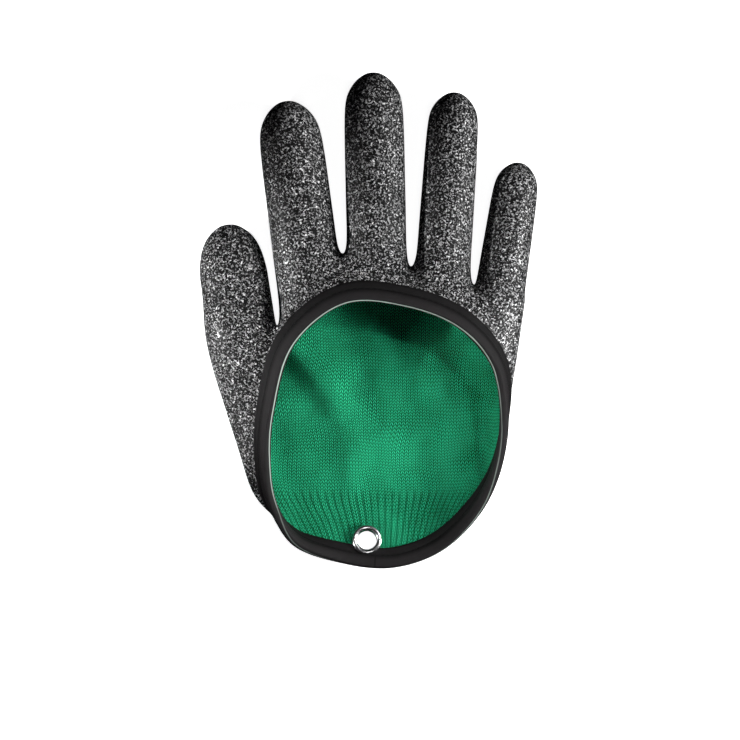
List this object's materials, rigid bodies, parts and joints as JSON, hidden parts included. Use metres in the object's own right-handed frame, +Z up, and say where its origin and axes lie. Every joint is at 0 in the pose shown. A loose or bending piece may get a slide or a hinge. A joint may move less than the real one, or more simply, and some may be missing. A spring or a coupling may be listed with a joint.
{
  "type": "fishing glove",
  "caption": "Right-hand fish-handling glove with an open back: crinkled black rubber over a green knit liner, a taped edge and a metal eyelet at the wrist.",
  "frame": {"origin": "middle of the palm's flat outer face, which the glove lies on", "axes": "+Y towards the fingertips, +X towards the little finger, +Z up out of the open back"},
  "size_m": [0.149, 0.2187, 0.0361],
  "materials": {
    "rubber_black": "satin",
    "knit_green": "matte",
    "tape_grey": "matte",
    "eyelet_metal": "polished"
  },
  "bodies": {
    "root": {"coated_shell": "rubber_black", "knit_liner": "knit_green", "edge_binding": "tape_grey", "eyelet": "eyelet_metal", "eyelet_washer": "eyelet_metal"}
  },
  "joints": []
}
